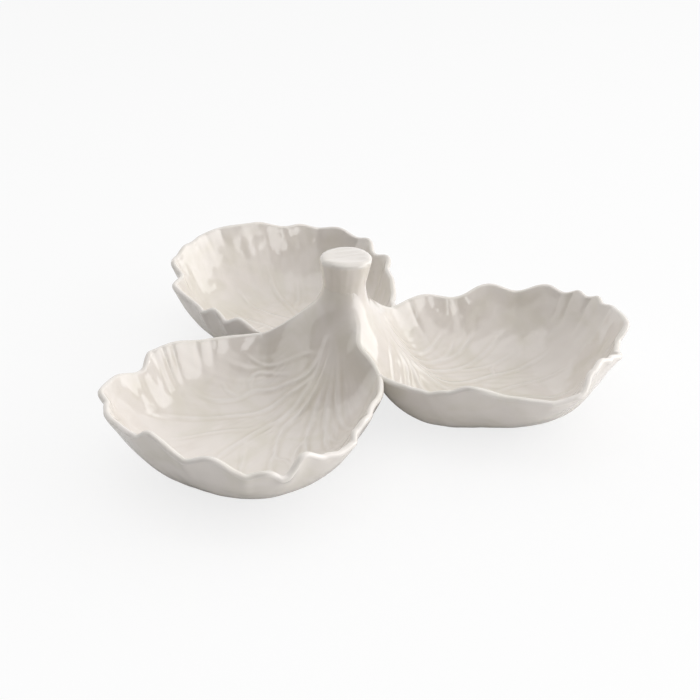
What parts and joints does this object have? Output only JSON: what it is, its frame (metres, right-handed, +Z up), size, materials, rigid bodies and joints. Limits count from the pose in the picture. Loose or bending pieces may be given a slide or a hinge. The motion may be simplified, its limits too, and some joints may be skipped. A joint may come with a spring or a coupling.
{
  "type": "leaf serving dish",
  "caption": "Glazed ceramic serving dish with ruffled leaf-shaped bowls luted round an upright cut-stalk handle, for olives, nuts or dips.",
  "frame": {"origin": "on the table, under the middle of the box round the dish", "axes": "+Z up along the stalk; the right leaf points along +X, the rear leaf at 120 degrees and the front leaf at 240 degrees, counter-clockwise seen from above"},
  "size_m": [0.2686, 0.2856, 0.0836],
  "materials": {
    "glaze": "glossy warm ivory glaze",
    "bare_clay": "matt unglazed fired clay"
  },
  "bodies": {
    "root": {"leaf_bowl_right": "glaze", "leaf_bowl_rear": "glaze", "leaf_bowl_front": "glaze", "seam_coil_right_rear": "glaze", "seam_coil_rear_front": "glaze", "seam_coil_front_right": "glaze", "stalk": "glaze", "stalk_cap": "glaze", "foot_ring_right": "bare_clay", "foot_ring_rear": "bare_clay", "foot_ring_front": "bare_clay"}
  },
  "joints": []
}
